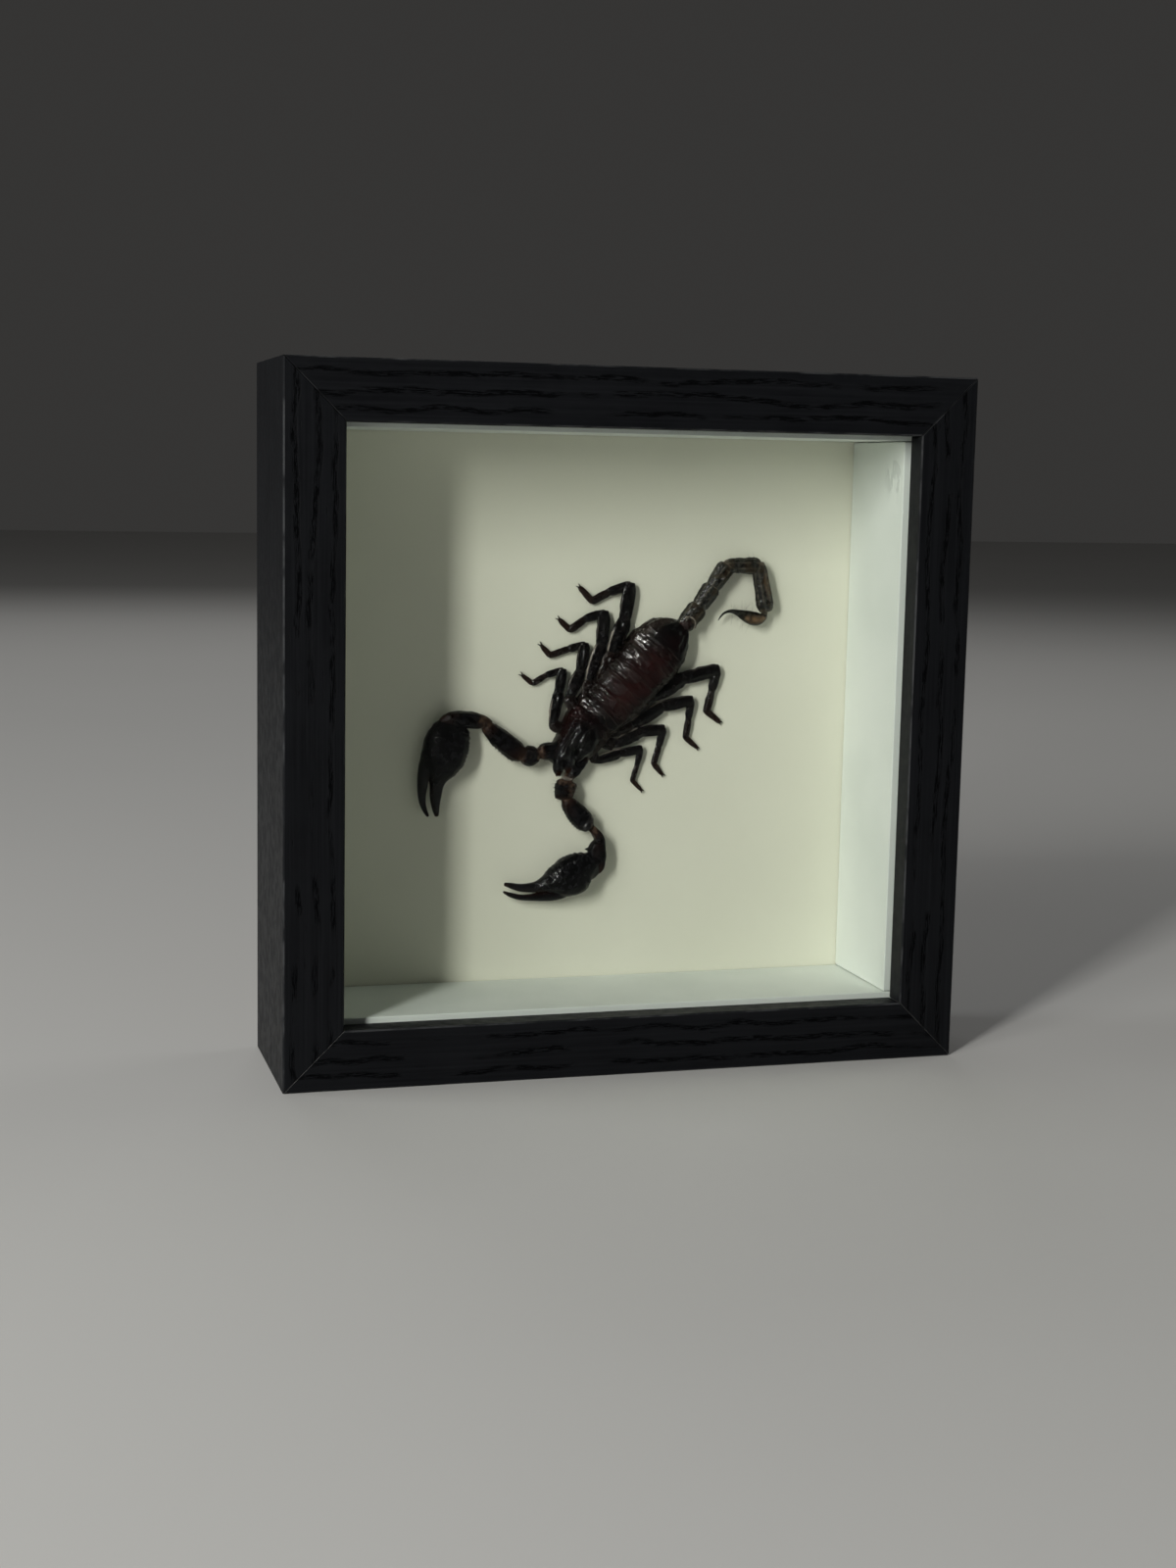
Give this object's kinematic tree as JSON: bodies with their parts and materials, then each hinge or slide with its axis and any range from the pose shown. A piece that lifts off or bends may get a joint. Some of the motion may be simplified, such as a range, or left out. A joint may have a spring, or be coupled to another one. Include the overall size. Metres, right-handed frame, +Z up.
{
  "type": "framed scorpion specimen",
  "caption": "Square black box frame with a glass front and white spacers around a cream card that carries a dried scorpion, for standing on a shelf.",
  "frame": {"origin": "centre of the frame's base, on the surface it stands on", "axes": "+X to the viewer's right, +Y from the glass towards the back, +Z up"},
  "size_m": [0.23, 0.06, 0.23],
  "materials": {
    "frame_wood": "black wood-grain finish, satin",
    "glass_pane": "clear flat glass",
    "spacer_board": "white board, faintly glossy",
    "mounting_card": "matt cream card",
    "back_board": "brown hardboard",
    "steel_tab": "thin bright steel",
    "scorpion_shell": "glossy blue-black shell",
    "scorpion_back": "glossy dark red-brown shell",
    "scorpion_tail": "granular grey-brown shell",
    "scorpion_legs": "glossy dark brown shell"
  },
  "bodies": {
    "root": {"rail_bottom": "frame_wood", "rail_left": "frame_wood", "rail_top": "frame_wood", "rail_right": "frame_wood", "glass": "glass_pane", "spacer_bottom": "spacer_board", "spacer_left": "spacer_board", "spacer_top": "spacer_board", "spacer_right": "spacer_board", "mounting_card": "mounting_card", "back_board": "back_board", "tab_bottom_1": "steel_tab", "tab_bottom_2": "steel_tab", "tab_left_1": "steel_tab", "tab_left_2": "steel_tab", "tab_top_1": "steel_tab", "tab_top_2": "steel_tab", "tab_right_1": "steel_tab", "tab_right_2": "steel_tab", "carapace": "scorpion_shell", "abdomen": "scorpion_back", "tail": "scorpion_tail", "stinger": "scorpion_tail", "jaw_left": "scorpion_shell", "arm_left": "scorpion_shell", "hand_left": "scorpion_shell", "finger_left": "scorpion_shell", "jaw_right": "scorpion_shell", "arm_right": "scorpion_shell", "hand_right": "scorpion_shell", "finger_right": "scorpion_shell", "leg_left_1": "scorpion_legs", "leg_left_2": "scorpion_legs", "leg_left_3": "scorpion_legs", "leg_left_4": "scorpion_legs", "leg_right_1": "scorpion_legs", "leg_right_2": "scorpion_legs", "leg_right_3": "scorpion_legs", "leg_right_4": "scorpion_legs"}
  },
  "joints": []
}
